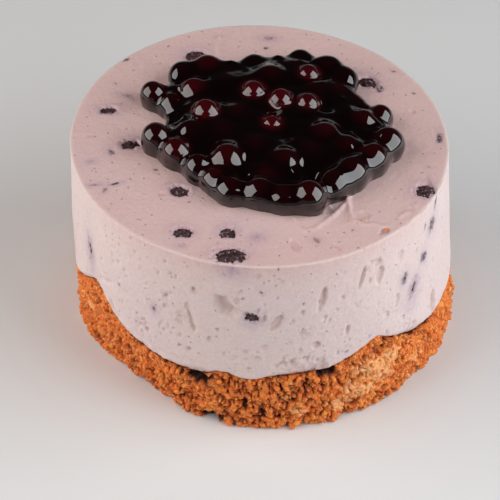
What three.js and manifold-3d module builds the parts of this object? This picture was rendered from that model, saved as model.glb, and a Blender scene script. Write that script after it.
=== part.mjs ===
// A small round berry cheesecake: a pressed biscuit-crumb base, a thick layer of
// set cream-cheese filling with whole berries in it, and a spoonful of berry
// compote on top, whose berries stand up out of their dark jelly.
// Millimetres, +Z up. The origin is on the cake's axis, in the plane of its
// underside. Angles round the cake are in degrees: 0 is the front (-Y), and
// positive angles go towards +X.
import * as THREE from "three";
import { mergeVertices } from "three/addons/utils/BufferGeometryUtils.js";
import Module from "manifold-3d";

// ---- driving sizes ----
const CAKE_R = 74; // radius of the filling
const CAKE_H = 83.5; // underside to the top of the filling
const RIM = 1.1; // rounding of the filling's upper rim
const LOWER_EDGE = 3.2; // rounding of the filling's lower edge
const SWELL = 0.9; // how far the filling's side stands out below the rim
const LEAN = 0.045; // the cake leans to the left, millimetres for each of height
const BASE_R = 74.3; // radius of the crumb base
const SEAM_Z = 26.5; // usual height of the seam between base and filling
const GAP = 0.3; // between neighbouring pieces
const SEGMENTS = 56; // round the cake
const JELLY_EDGE = 7.4; // height of the compote's jelly near its edge
const JELLY_RISE = 2.2; // how much higher it stands in the middle
const JELLY_COAT = 0.9; // jelly outside the outermost berries
const JELLY_AT = [5, 5]; // middle of the compote on the cake's top
const JELLY_SEMI = [42, 39]; // half axes of the pool between its lobes
const JELLY_SEGMENTS = 60;

// The seam's bumps: [angle, half width in degrees, height].
const SEAM_BUMPS = [
  [-69, 20, 9.5],
  [-57.4, 8, 10.5],
  [-24.2, 10, -1],
  [-10.5, 4.5, 2.6],
  [38.7, 8, 6.5],
  [67, 18, -6.5],
  [120, 22, 4],
  [165, 18, -3],
  [-160, 14, 5],
  [-118, 20, -4],
];
// Where the base's foot has crumbled away: [angle, half width, depth].
const FOOT_WORN = [
  [-44, 22, 6.5],
  [128, 16, 4],
];
// Where the base's side bulges: [angle, half width, height].
const SIDE_BULGES = [
  [88, 13, 1.9],
  [20, 14, 0.5],
  [-150, 16, 1.0],
  [-80, 26, -0.9],
];

// The compote's berries: x, y, height of the centre over the cake's top, radius.
const BERRIES = [
  [-21.2, 37.0, 5.9, 5.0],
  [-30.9, 33.9, 5.2, 4.3],
  [-42.2, 20.8, 5.6, 4.6],
  [-34.6, 15.8, 4.9, 4.0],
  [-26.3, 21.7, 6.6, 5.0],
  [-20.8, 6.6, 8.0, 5.4],
  [-39.9, -6.7, 6.2, 5.3],
  [-31.9, -14.6, 5.9, 5.0],
  [-26.4, -4.8, 6.6, 4.6],
  [-12.1, -19.4, 6.8, 5.3],
  [-16.8, -29.3, 4.9, 4.0],
  [-23.1, -22.6, 5.5, 4.6],
  [-2.4, 19.6, 8.4, 4.8],
  [8.2, 14.9, 8.6, 4.9],
  [18.8, 13.8, 8.2, 4.5],
  [18.9, 33.0, 7.2, 4.6],
  [3.7, 30.2, 7.4, 5.0],
  [26.7, 40.6, 5.2, 4.7],
  [33.1, 34.5, 4.8, 4.3],
  [15.6, 46.0, 4.2, 3.7],
  [-2.9, 41.6, 4.5, 4.0],
  [5.0, 0.6, 7.6, 4.2],
  [26.0, -4.0, 7.0, 5.0],
  [40.7, 6.5, 6.3, 4.8],
  [47.5, 12.8, 4.9, 4.0],
  [50.3, -4.6, 6.3, 5.4],
  [44.4, -14.3, 6.0, 5.1],
  [36.5, -23.2, 5.9, 5.0],
  [29.0, -30.2, 5.6, 4.7],
  [20.2, -38.3, 6.4, 5.4],
  [10.1, -39.2, 5.2, 4.3],
  [0.8, -36.5, 5.7, 4.8],
  [10.6, -20.9, 6.8, 5.0],
  [-9.9, -35.4, 5.1, 4.2],
  [33.6, -10.9, 6.6, 4.7],
];

// Berries set in the filling that show at its top: x, y, half axes along x and
// y, turn in degrees.
const TOP_INSETS = [
  [-27.0, 53.0, 4.6, 3.8, 10],
  [-50.4, -4.4, 4.4, 3.3, 20],
  [-30.1, -31.3, 4.0, 3.6, -15],
  [42.2, 39.7, 4.6, 3.8, -30],
  [64.3, -25.9, 4.4, 4.2, 35],
  [-28.0, -55.3, 4.0, 3.3, 0],
  [-10.9, -54.6, 3.6, 3.5, 0],
  [-9.5, -67.2, 6.3, 4.2, 4],
  [-60.0, 16.0, 4.4, 2.8, 5],
];
// And at its side: angle, height, half width, half height, turn in degrees.
const SIDE_INSETS = [
  [-1.3, 58, 3.6, 2.6, 8],
  [53.3, 50, 3.2, 6.0, 22],
  [-60.8, 57.3, 2.8, 6.4, -12],
  [112, 46, 4.0, 3.2, 15],
  [158, 62, 3.4, 5.0, -20],
  [-152, 50, 4.2, 3.4, 30],
  [-104, 64, 3.2, 4.6, 10],
];

// ---- helpers ----
const wasm = await Module();
wasm.setup();
const DEG = Math.PI / 180;

// Signed difference of two angles in degrees, from -180 to 180.
const turn = (a, b) => ((((a - b + 180) % 360) + 360) % 360) - 180;
// Sum of smooth bumps at an angle.
const bumps = (list, angle) =>
  list.reduce((s, [at, w, h]) => s + h * Math.exp(-((turn(angle, at) / w) ** 2)), 0);
const smooth = (x, a, b) => {
  const t = Math.min(1, Math.max(0, (x - a) / (b - a)));
  return t * t * (3 - 2 * t);
};

// A geometry with only its positions, shared vertices merged.
function bare(geometry) {
  const g = new THREE.BufferGeometry();
  g.setAttribute("position", geometry.getAttribute("position").clone());
  if (geometry.index) g.setIndex(geometry.index.clone());
  return mergeVertices(g, 1e-4);
}

function toSolid(geometry) {
  const g = bare(geometry);
  const keep = [];
  const index = g.index.array;
  for (let i = 0; i < index.length; i += 3) {
    const [a, b, c] = [index[i], index[i + 1], index[i + 2]];
    if (a !== b && b !== c && c !== a) keep.push(a, b, c);
  }
  return new wasm.Manifold(
    new wasm.Mesh({
      numProp: 3,
      vertProperties: new Float32Array(g.attributes.position.array),
      triVerts: new Uint32Array(keep),
    }),
  );
}

function toGeometry(solid) {
  const m = solid.getMesh();
  const g = new THREE.BufferGeometry();
  const p = new Float32Array((m.vertProperties.length / m.numProp) * 3);
  for (let i = 0; i < p.length / 3; i++)
    for (let j = 0; j < 3; j++) p[3 * i + j] = m.vertProperties[i * m.numProp + j];
  g.setAttribute("position", new THREE.BufferAttribute(p, 3));
  g.setIndex(new THREE.BufferAttribute(new Uint32Array(m.triVerts), 1));
  g.computeVertexNormals();
  return g;
}

// Turns a profile of [radius, height] pairs about +Z, then moves every vertex
// by shape(angle, radius, height), which returns the new [radius, height].
function turned(profile, segments, shape) {
  const g = new THREE.LatheGeometry(
    profile.map(([r, z]) => new THREE.Vector2(r, z)),
    segments,
  ).rotateX(Math.PI / 2);
  const p = g.getAttribute("position");
  for (let i = 0; i < p.count; i++) {
    const x = p.getX(i),
      y = p.getY(i),
      r0 = Math.hypot(x, y);
    const angle = r0 < 1e-6 ? 0 : Math.atan2(x, -y) / DEG;
    const [r, z] = shape(angle, r0, p.getZ(i));
    const a = angle * DEG;
    if (r0 < 1e-6) p.setXYZ(i, 0, 0, z);
    else p.setXYZ(i, r * Math.sin(a), -r * Math.cos(a), z);
  }
  return bare(g);
}

const part = new THREE.Group();
function addPiece(name, geometry, colour, roughness, parent = part) {
  geometry.computeVertexNormals();
  const mesh = new THREE.Mesh(
    geometry,
    new THREE.MeshStandardMaterial({ color: colour, roughness, metalness: 0 }),
  );
  mesh.name = name;
  parent.add(mesh);
  return mesh;
}

// ---- berries ----
// A berry: round, a little flat, with the shallow crown left by its flower.
const BERRY_SECTION = [
  [0, -0.93],
  [0.8, -0.5],
  [1, 0.1],
  [0.6, 0.76],
  [0, 0.72],
];
const BERRY_SEGMENTS = 8;
const berryShape = (r) =>
  turned(
    BERRY_SECTION.map(([x, z]) => [x * r, z * r]),
    BERRY_SEGMENTS,
    (angle, x, z) => [x, z],
  );

// ---- crumb base and filling ----
// They are shaped upright and then lean together, the underside staying in place.
const leaned = (geometry) =>
  geometry.applyMatrix4(
    new THREE.Matrix4().set(1, 0, -LEAN, 0, 0, 1, 0, 0, 0, 0, 1, 0, 0, 0, 0, 1),
  );
// Height of the seam: level in the middle, wavy near the cake's side.
const seamAt = (angle, r) =>
  SEAM_Z + bumps(SEAM_BUMPS, angle) * smooth(r, 0.6 * CAKE_R, 0.94 * CAKE_R);
const SEAM_RINGS = [0, 0.6 * CAKE_R, 0.78 * CAKE_R, 0.945 * CAKE_R];

// The base's side: lumpy, bulging here and there, worn at the foot. share goes
// from 0 at the underside to 1 at the seam.
function baseRadius(angle, share) {
  const a = angle * DEG;
  const lumps =
    0.35 * Math.sin(5 * a + 1 + 2 * share) + 0.3 * Math.sin(9 * a + 2.2 - 3 * share);
  const worn = bumps(FOOT_WORN, angle) * Math.pow(1 - share, 1.2);
  return BASE_R + lumps + bumps(SIDE_BULGES, angle) * Math.sin(Math.PI * share) - worn;
}

const SIDE_SHARES = [0.06, 0.36, 0.68, 0.93];
const baseProfile = [
  [0, 0],
  [BASE_R - 0.8, 0],
  ...SIDE_SHARES.map((s) => [BASE_R, s]),
  ...SEAM_RINGS.toReversed().map((r) => [r, 1]),
];
// Its top is left a little high here and is then cut to the filling's underside.
const uncutBase = turned(baseProfile, SEGMENTS, (angle, r, share) => {
  if (share === 1) return [r, seamAt(angle, r) + GAP];
  if (r < 1) return [0, 0];
  const top = seamAt(angle, CAKE_R) - GAP / 2;
  return [baseRadius(angle, share) - (share === 0 ? 0.8 : 0), share * top];
});

const corner = [0, 0.5, 1].map((t) => t * 90 * DEG);
const fillingProfile = [
  ...SEAM_RINGS.map((r) => [r, 0]),
  [CAKE_R + SWELL - 0.8, 0.3],
  [CAKE_R + SWELL, 1],
  [CAKE_R + SWELL, 50],
  ...corner.map((t) => [CAKE_R - RIM + RIM * Math.cos(t), 100 - RIM + RIM * Math.sin(t)]),
  [0, 100],
];
const fillingShape = turned(fillingProfile, SEGMENTS, (angle, r, at) => {
  const seam = seamAt(angle, r) + GAP / 2;
  if (at <= 1) return [r, seam + at * LOWER_EDGE];
  if (at === 50) return [r, (CAKE_H + seam) / 2];
  return [r, at - 100 + CAKE_H];
});
const filling = toSolid(fillingShape);

const lowered = fillingShape.clone().translate(0, 0, -GAP);
const base = toSolid(uncutBase).subtract(toSolid(lowered));
addPiece("crumb_base", leaned(toGeometry(base)), 0xb4611f, 0.95);

// ---- berries set in the filling ----
const insetShape = (a, b, c, grow = 0) =>
  berryShape(1).scale(a + grow, b + grow, c + grow);
const insets = [];
let filled = filling;
function inset(name, half, matrix) {
  const whole = toSolid(insetShape(...half).applyMatrix4(matrix));
  const room = toSolid(insetShape(...half, GAP + 0.1).applyMatrix4(matrix));
  insets.push([name, whole.intersect(filling)]);
  filled = filled.subtract(room);
}
const number = (i) => String(i + 1).padStart(2, "0");
TOP_INSETS.forEach(([x, y, a, b, spin], i) => {
  const m = new THREE.Matrix4()
    .makeTranslation(x, y, CAKE_H - 0.9)
    .multiply(new THREE.Matrix4().makeRotationZ(spin * DEG));
  inset(`set_berry_top_${number(i)}`, [a, b, 3.4], m);
});
SIDE_INSETS.forEach(([angle, z, a, c, tilt], i) => {
  const s = angle * DEG;
  const m = new THREE.Matrix4()
    .makeTranslation((CAKE_R - 0.4) * Math.sin(s), -(CAKE_R - 0.4) * Math.cos(s), z)
    .multiply(new THREE.Matrix4().makeRotationZ(s))
    .multiply(new THREE.Matrix4().makeRotationY(tilt * DEG));
  inset(`set_berry_side_${number(i)}`, [a, 3.2, c], m);
});
addPiece("filling", leaned(toGeometry(filled)), 0xdcc8c4, 0.55);
const setBerries = new THREE.Group();
part.add(setBerries);
for (const [name, solid] of insets)
  addPiece(name, leaned(toGeometry(solid)), 0x1d1219, 0.6, setBerries);

// ---- compote ----
const compote = new THREE.Group();
compote.position.set(-LEAN * CAKE_H, 0, CAKE_H);
part.add(compote);

// How far the jelly reaches from its middle in a direction: the pool's ellipse,
// or the far side of the outermost berry's coat.
function jellyReach(angle) {
  const dx = Math.sin(angle * DEG),
    dy = -Math.cos(angle * DEG);
  let far = 1 / Math.hypot(dx / JELLY_SEMI[0], dy / JELLY_SEMI[1]);
  for (const [x, y, , r] of BERRIES) {
    const px = x - JELLY_AT[0],
      py = y - JELLY_AT[1],
      along = px * dx + py * dy,
      off = px * dy - py * dx,
      q = (r + JELLY_COAT) ** 2 - off * off;
    if (q > 0) far = Math.max(far, along + Math.sqrt(q));
  }
  return far;
}
// The jelly's section: [share of the reach, share of the edge height, share of the rise].
const JELLY_SECTION = [
  [0, 0, 0],
  [0.965, 0, 0],
  [1, 0.35, 0],
  [0.985, 0.75, 0],
  [0.89, 1, 0.1],
  [0.55, 1, 0.7],
  [0, 1, 1],
];
let jelly = toSolid(
  turned(
    JELLY_SECTION.map(([s], i) => [s, i]),
    JELLY_SEGMENTS,
    (angle, share, i) => {
      const [, e, rise] = JELLY_SECTION[Math.round(i)];
      return [share * jellyReach(angle), GAP + e * JELLY_EDGE + rise * JELLY_RISE];
    },
  ).translate(JELLY_AT[0], JELLY_AT[1], 0),
);

BERRIES.forEach(([x, y, z, r], i) => {
  const tilt = new THREE.Euler(
    (25 + 70 * Math.abs(Math.sin(3.1 * i + 0.4))) * DEG,
    0,
    (i * 137.5 * DEG) % (2 * Math.PI),
    "ZYX",
  );
  const place = (size) =>
    berryShape(size)
      .applyMatrix4(new THREE.Matrix4().makeRotationFromEuler(tilt))
      .translate(x, y, z);
  jelly = jelly.subtract(toSolid(place(r + GAP + 0.12)));
  const mesh = addPiece(`berry_${number(i)}`, berryShape(r), 0x3a060d, 0.15, compote);
  mesh.position.set(x, y, z);
  mesh.rotation.copy(tilt);
});
addPiece("compote_jelly", toGeometry(jelly), 0x14020a, 0.08, compote);

export default part;
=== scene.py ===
import math

import bpy
import numpy as np
from mathutils import Matrix, Vector


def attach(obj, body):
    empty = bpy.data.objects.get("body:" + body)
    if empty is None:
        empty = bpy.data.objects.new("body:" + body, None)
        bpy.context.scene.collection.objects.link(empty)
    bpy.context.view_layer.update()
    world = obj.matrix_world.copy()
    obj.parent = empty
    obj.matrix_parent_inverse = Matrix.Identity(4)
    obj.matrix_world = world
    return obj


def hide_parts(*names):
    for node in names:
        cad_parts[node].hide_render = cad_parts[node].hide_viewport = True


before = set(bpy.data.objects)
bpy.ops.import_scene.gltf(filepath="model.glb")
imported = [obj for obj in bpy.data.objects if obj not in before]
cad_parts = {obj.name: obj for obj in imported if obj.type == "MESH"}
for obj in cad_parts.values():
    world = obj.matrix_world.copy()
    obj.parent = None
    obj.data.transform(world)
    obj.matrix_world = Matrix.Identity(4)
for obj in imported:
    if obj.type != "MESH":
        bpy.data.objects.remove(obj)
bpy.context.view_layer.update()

# A round berry cheesecake. Sizes are worked out in millimetres and written in
# metres. The origin is on the cake's axis in the plane of its underside, +Z up.
# Angles round the cake are in degrees: 0 is the front (-Y), positive to +X.
MM = 0.001
DEG = math.pi / 180
R = 74.0  # radius of the filling
H = 83.5  # height of its top
RIM = 0.48  # rounding of its upper rim
TURN = R * DEG  # millimetres of the side for one degree
LEAN = 0.045  # the cake leans a little to the left as it goes up


# ------------------------------------------------------------------ numbers
def lattice(ix, iy, iz, seed):
    h = ix.astype(np.uint32) * np.uint32(0x8DA6B343)
    h ^= iy.astype(np.uint32) * np.uint32(0xD8163841)
    h ^= iz.astype(np.uint32) * np.uint32(0xCB1AB31F)
    h ^= np.uint32((seed * 0x9E3779B1 + 0x7F4A7C15) & 0xFFFFFFFF)
    h ^= h >> np.uint32(15)
    h *= np.uint32(0x2C1B3C6D)
    h ^= h >> np.uint32(12)
    h *= np.uint32(0x297A2D39)
    h ^= h >> np.uint32(15)
    return h


def noise(p, seed=0):
    """Smooth gradient noise, about -1 to 1, at points of shape (..., 3)."""
    p = np.asarray(p, float)
    shape = p.shape[:-1]
    p = p.reshape(-1, 3)
    i = np.floor(p)
    f = p - i
    i = i.astype(np.int64)
    u = f * f * f * (f * (f * 6 - 15) + 10)
    out = np.zeros(len(p))
    for c in range(8):
        o = (c & 1, (c >> 1) & 1, (c >> 2) & 1)
        h = lattice(i[:, 0] + o[0], i[:, 1] + o[1], i[:, 2] + o[2], seed)
        d = np.zeros(len(p))
        w = np.ones(len(p))
        for a in range(3):
            g = ((h >> np.uint32(10 * a)) & np.uint32(1023)) / 511.5 - 1
            d += g * (f[:, a] - o[a])
            w *= u[:, a] if o[a] else 1 - u[:, a]
        out += w * d
    return (out * 1.7).reshape(shape)


def fbm(p, wave, octaves=3, seed=0):
    p = np.asarray(p, float)
    out, amp = 0.0, 1.0
    for k in range(octaves):
        out = out + amp * noise(p * (2**k / wave), seed + 17 * k)
        amp *= 0.5
    return out


def smooth(x, a, b):
    t = np.clip((x - a) / (b - a), 0, 1)
    return t * t * (3 - 2 * t)


def turn(a, b):
    return (a - b + 180) % 360 - 180


def smin(a, b, k):
    h = np.maximum(k - np.abs(a - b), 0) / k
    return np.minimum(a, b) - h * h * k / 4


def smax(a, b, k):
    return -smin(-a, -b, k)


def bumps(table, angle):
    out = np.zeros_like(angle, float)
    for at, w, h in table:
        out += h * np.exp(-((turn(angle, at) / w) ** 2))
    return out


def swell(z):
    """How far the side stands out below the rim."""
    return 0.95 * smooth(H - z, 2, 36)


def on_side(angle, r, z):
    a = angle * DEG
    return np.stack(np.broadcast_arrays(r * np.sin(a), -r * np.cos(a), z), -1)


def leant(rows):
    """Rows of marks [angle, height, ...] of the front, moved as the cake leans."""
    out = []
    for at, z, *rest in rows:
        if abs(at) < 86:
            at -= LEAN * (H - z) / (R * max(math.cos(at * DEG), 0.35)) / DEG
        out.append((at, z, *rest))
    return out


# ------------------------------------------------------------------- meshes
def piece(name, verts, faces, material, nodes=(), attrs=None, normals=None):
    """A smooth mesh of points in millimetres, riding on the cake."""
    mesh = bpy.data.meshes.new(name)
    verts = np.array(verts, float)
    verts[:, 0] -= LEAN * verts[:, 2]
    mesh.from_pydata((verts * MM).tolist(), [], faces)
    mesh.polygons.foreach_set("use_smooth", np.ones(len(mesh.polygons), bool))
    for key, values in (attrs or {}).items():
        a = mesh.attributes.new(key, "FLOAT", "POINT")
        a.data.foreach_set("value", np.asarray(values, np.float32).ravel())
    mesh.update()
    if normals is not None:
        mesh.normals_split_custom_set_from_vertices(np.asarray(normals, float).tolist())
    mesh.materials.append(material)
    obj = bpy.data.objects.new(name, mesh)
    bpy.context.scene.collection.objects.link(obj)
    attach(obj, "root")
    if nodes:
        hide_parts(*nodes)
    return obj


def skin(rings):
    """Faces over rings of points from the underside's middle, outwards, up and in
    to the top's middle. A ring has as many points as the last one, or half or
    twice as many, or one at a pole."""
    first, at = [], 0
    for ring in rings:
        first.append(at)
        at += len(ring)
    faces = []
    for j in range(len(rings) - 1):
        n, m, a, b = len(rings[j]), len(rings[j + 1]), first[j], first[j + 1]
        if n == 1:
            k = np.arange(m)
            f = np.stack([np.full(m, a), b + (k + 1) % m, b + k], 1)
        elif m == 1:
            k = np.arange(n)
            f = np.stack([a + k, a + (k + 1) % n, np.full(n, b)], 1)
        elif n == m:
            k = np.arange(n)
            q = (k + 1) % n
            f = np.stack([a + k, a + q, b + q, b + k], 1)
        elif n == 2 * m:
            k = np.arange(m)
            q = (k + 1) % m
            a0, a1, a2 = a + 2 * k, a + 2 * k + 1, a + (2 * k + 2) % n
            f = np.concatenate(
                [np.stack(t, 1) for t in ((a0, a1, b + k), (a1, b + q, b + k), (a1, a2, b + q))]
            )
        else:
            k = np.arange(n)
            q = (k + 1) % n
            b0, b1, b2 = b + 2 * k, b + 2 * k + 1, b + (2 * k + 2) % m
            f = np.concatenate(
                [np.stack(t, 1) for t in ((a + k, b1, b0), (a + k, a + q, b1), (a + q, b2, b1))]
            )
        faces += f.tolist()
    return np.concatenate(rings), faces


def ball(level):
    """Points and triangles of a unit ball made from an icosahedron."""
    g = (1 + 5**0.5) / 2
    v = [(-1, g, 0), (1, g, 0), (-1, -g, 0), (1, -g, 0), (0, -1, g), (0, 1, g),
         (0, -1, -g), (0, 1, -g), (g, 0, -1), (g, 0, 1), (-g, 0, -1), (-g, 0, 1)]
    f = [(0, 11, 5), (0, 5, 1), (0, 1, 7), (0, 7, 10), (0, 10, 11), (1, 5, 9), (5, 11, 4),
         (11, 10, 2), (10, 7, 6), (7, 1, 8), (3, 9, 4), (3, 4, 2), (3, 2, 6), (3, 6, 8),
         (3, 8, 9), (4, 9, 5), (2, 4, 11), (6, 2, 10), (8, 6, 7), (9, 8, 1)]
    v = [tuple(np.array(p) / np.linalg.norm(p)) for p in v]
    for _ in range(level):
        mid, new = {}, []

        def half(a, b):
            key = (min(a, b), max(a, b))
            if key not in mid:
                m = np.array(v[a]) + np.array(v[b])
                mid[key] = len(v)
                v.append(tuple(m / np.linalg.norm(m)))
            return mid[key]

        for a, b, c in f:
            ab, bc, ca = half(a, b), half(b, c), half(c, a)
            new += [(a, ab, ca), (b, bc, ab), (c, ca, bc), (ab, bc, ca)]
        f = new
    return np.array(v), np.array(f)


def rotations(n, rng):
    """n random rotation matrices."""
    q = rng.normal(size=(n, 4))
    q /= np.linalg.norm(q, axis=1)[:, None]
    w, x, y, z = q.T
    return np.stack(
        [
            np.stack([1 - 2 * (y * y + z * z), 2 * (x * y - z * w), 2 * (x * z + y * w)], 1),
            np.stack([2 * (x * y + z * w), 1 - 2 * (x * x + z * z), 2 * (y * z - x * w)], 1),
            np.stack([2 * (x * z - y * w), 2 * (y * z + x * w), 1 - 2 * (x * x + y * y)], 1),
        ],
        1,
    )


# ---------------------------------------------------------------- materials
class Nodes:
    """A small helper for writing node trees."""

    def __init__(self, name):
        self.mat = bpy.data.materials.new(name)
        self.mat.use_nodes = True
        self.tree = self.mat.node_tree
        self.shader = next(n for n in self.tree.nodes if n.type == "BSDF_PRINCIPLED")

    def add(self, kind, **settings):
        n = self.tree.nodes.new(kind)
        for k, v in settings.items():
            setattr(n, k, v)
        return n

    def feed(self, node, key, value):
        socket = node.inputs[key]
        if isinstance(value, bpy.types.NodeSocket):
            self.tree.links.new(value, socket)
        else:
            socket.default_value = value

    def attr(self, name):
        return self.add("ShaderNodeAttribute", attribute_name=name).outputs["Fac"]

    def place(self):
        return self.add("ShaderNodeTexCoord").outputs["Object"]

    def grain(self, scale, detail=3.0, rough=0.55, warp=0.0):
        n = self.add("ShaderNodeTexNoise")
        self.feed(n, "Vector", self.place())
        self.feed(n, "Scale", scale)
        self.feed(n, "Detail", detail)
        self.feed(n, "Roughness", rough)
        self.feed(n, "Distortion", warp)
        return n.outputs["Fac"]

    def cells(self, scale, feature="F1", out="Distance", jitter=1.0):
        n = self.add("ShaderNodeTexVoronoi", feature=feature)
        self.feed(n, "Vector", self.place())
        self.feed(n, "Scale", scale)
        self.feed(n, "Randomness", jitter)
        return n.outputs[out]

    def span(self, value, a, b, lo=0.0, hi=1.0, kind="SMOOTHSTEP"):
        n = self.add("ShaderNodeMapRange", interpolation_type=kind)
        self.feed(n, "Value", value)
        self.feed(n, "From Min", a)
        self.feed(n, "From Max", b)
        self.feed(n, "To Min", lo)
        self.feed(n, "To Max", hi)
        return n.outputs["Result"]

    def math(self, op, a, b=0.0, clamp=False):
        n = self.add("ShaderNodeMath", operation=op, use_clamp=clamp)
        self.feed(n, 0, a)
        self.feed(n, 1, b)
        return n.outputs[0]

    def mix(self, fac, a, b, blend="MIX"):
        n = self.add("ShaderNodeMix", data_type="RGBA", blend_type=blend)
        self.feed(n, 0, fac)
        for key, v in ((6, a), (7, b)):
            self.feed(n, key, v if isinstance(v, bpy.types.NodeSocket) else (*v, 1.0))
        return n.outputs[2]

    def bump(self, height, strength, distance, normal=None):
        n = self.add("ShaderNodeBump")
        self.feed(n, "Strength", strength)
        self.feed(n, "Distance", distance)
        self.feed(n, "Height", height)
        if normal is not None:
            self.feed(n, "Normal", normal)
        return n.outputs["Normal"]

    def set(self, **values):
        for key, v in values.items():
            self.feed(self.shader, key.replace("_", " "), v)


def srgb(r, g, b):
    """Linear colour of 0 to 255 display values."""
    return tuple(
        c / 12.92 if c <= 0.04045 else ((c + 0.055) / 1.055) ** 2.4
        for c in (r / 255, g / 255, b / 255)
    )


def cream_material():
    m = Nodes("cream_filling")
    col = m.mix(m.grain(45, 4), srgb(224, 205, 202), srgb(231, 214, 211))
    # painted shade: the top, and at the front the side just under the rim, are tinted darker and pinker
    col = m.mix(m.math("MULTIPLY", m.attr("top"), 1.0), col, srgb(226, 192, 188))
    sand = m.span(m.grain(900, 4, 0.8), 0.34, 0.66)
    col = m.mix(m.math("MULTIPLY", sand, 0.30), col, srgb(200, 166, 158))
    # cloudy lilac where berry juice has run into the cream
    cloud = m.span(m.grain(26, 3, 0.6), 0.45, 0.75)
    col = m.mix(m.math("MULTIPLY", cloud, 0.22), col, srgb(214, 196, 208))
    # painted highlight: the rim line is tinted lighter and warmer, as if catching the lamps
    col = m.mix(m.math("MULTIPLY", m.attr("rim"), 0.12), col, srgb(236, 209, 193))
    # painted shade: the dents are tinted a warmer, darker brown
    col = m.mix(m.math("MULTIPLY", m.attr("dent_shade"), 0.22), col, srgb(186, 140, 120))
    # purple stains and dark smears of berry, broken up by a fine grain
    fleck = m.span(m.grain(900, 4, 0.7), 0.3, 0.7)
    stain = m.math("MULTIPLY", m.attr("stain"), m.span(m.grain(420, 3, 0.6), 0.2, 0.7, 0.55, 1.0))
    col = m.mix(m.math("MULTIPLY", stain, 0.62), col, srgb(152, 124, 158))
    dark = m.math("MULTIPLY", m.attr("dark"), m.span(fleck, 0.0, 1.0, 0.55, 1.35), True)
    col = m.mix(m.math("MULTIPLY", dark, 0.93), col, srgb(46, 36, 50))
    # fine specks of berry skin
    near = m.cells(210)
    pick = m.span(m.cells(210, out="Color"), 0.80, 0.86)
    speck = m.math("MULTIPLY", m.span(near, 0.05, 0.11, 1.0, 0.0), pick)
    col = m.mix(m.math("MULTIPLY", speck, 0.45), col, srgb(110, 84, 94))
    # pinholes: sunk by the bump below, and darkened with painted shade
    pore_near = m.cells(330)
    pore_pick = m.span(m.cells(330, out="Color"), 0.48, 0.54)
    pore = m.math("MULTIPLY", m.span(pore_near, 0.06, 0.16, 1.0, 0.0), pore_pick)
    col = m.mix(m.math("MULTIPLY", pore, 0.5), col, srgb(170, 128, 114))
    fine = m.grain(2600, 3, 0.6)
    soft = m.grain(520, 3, 0.5)
    n = m.bump(fine, 0.32, 0.0004)
    n = m.bump(soft, 0.30, 0.0010, n)
    n = m.bump(m.math("SUBTRACT", 1.0, pore), 0.9, 0.0005, n)
    m.set(Base_Color=col, Roughness=m.span(m.grain(300, 2), 0.2, 0.8, 0.46, 0.6), Normal=n)
    m.shader.inputs["Specular IOR Level"].default_value = 0.34
    m.shader.inputs["Subsurface Weight"].default_value = 0.18
    m.shader.inputs["Subsurface Radius"].default_value = (1.0, 0.62, 0.55)
    m.shader.inputs["Subsurface Scale"].default_value = 0.0022
    return m.mat


def set_berry_material():
    m = Nodes("set_berry_skin")
    col = m.mix(m.span(m.grain(520, 4, 0.65), 0.3, 0.7), srgb(20, 9, 12), srgb(84, 42, 46))
    # traces of cream and pale pulp
    col = m.mix(m.span(m.grain(850, 4, 0.7, 0.3), 0.58, 0.66), col, srgb(186, 170, 176))
    col = m.mix(m.span(m.cells(900, out="Distance"), 0.05, 0.2, 0.2, 0.0), col, srgb(120, 84, 90))
    n = m.bump(m.grain(1500, 4, 0.65, 0.5), 0.7, 0.0008)
    m.set(Base_Color=col, Roughness=m.span(m.grain(700, 2), 0.3, 0.7, 0.26, 0.55), Normal=n)
    m.shader.inputs["Specular IOR Level"].default_value = 0.45
    return m.mat


def crumb_material(name):
    m = Nodes(name)
    tone, gap_shade, pale = m.attr("tone"), m.attr("gap_shade"), m.attr("pale")
    col = m.mix(tone, srgb(230, 102, 14), srgb(246, 154, 54))
    col = m.mix(m.span(m.grain(160, 3), 0.42, 0.72), col, srgb(238, 120, 34))
    # single sugar and flour grains
    col = m.mix(m.span(m.grain(1900, 3, 0.7), 0.55, 0.65, 0.0, 0.85), col, srgb(255, 214, 150))
    col = m.mix(m.span(m.grain(1300, 3, 0.7, 0.4), 0.58, 0.72, 0.0, 0.6), col, srgb(160, 54, 8))
    patch = m.math("MULTIPLY", pale, m.span(m.grain(700, 4, 0.65), 0.25, 0.6, 0.35, 1.0), True)
    col = m.mix(m.math("MULTIPLY", patch, 0.85), col, srgb(255, 190, 128))
    # painted shade: deep orange-brown, then near black, in the gaps between crumbs
    col = m.mix(m.math("MULTIPLY", gap_shade, 0.85), col, srgb(138, 42, 6))
    col = m.mix(m.span(gap_shade, 0.66, 1.0, 0.0, 0.94), col, srgb(40, 12, 4))
    n = m.bump(m.grain(2600, 4, 0.75), 0.5, 0.0005)
    n = m.bump(m.grain(900, 3, 0.6), 0.35, 0.0010, n)
    m.set(Base_Color=col, Roughness=m.span(m.grain(1700, 2), 0.3, 0.7, 0.36, 0.72), Normal=n)
    m.shader.inputs["Specular IOR Level"].default_value = 0.42
    m.shader.inputs["Subsurface Weight"].default_value = 0.18
    m.shader.inputs["Subsurface Radius"].default_value = (1.0, 0.4, 0.15)
    m.shader.inputs["Subsurface Scale"].default_value = 0.0008
    return m.mat


def glaze_material(name, deep, red):
    """Wet fruit jelly: nearly black, dark red where a berry is close under it."""
    m = Nodes(name)
    depth = m.math("MULTIPLY", m.attr("red"), m.span(m.grain(330, 3, 0.6), 0.2, 0.8, 0.78, 1.12), True)
    col = m.mix(depth, deep, red)
    n = m.bump(m.grain(170, 2, 0.5), 0.06, 0.0012)
    m.set(Base_Color=col, Roughness=m.span(m.grain(240, 2), 0.2, 0.8, 0.035, 0.075), Normal=n)
    m.shader.inputs["IOR"].default_value = 1.45
    m.shader.inputs["Specular IOR Level"].default_value = 0.55
    m.shader.inputs["Coat Weight"].default_value = 1.0
    m.shader.inputs["Coat Roughness"].default_value = 0.03
    m.shader.inputs["Coat IOR"].default_value = 1.45
    return m.mat


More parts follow.
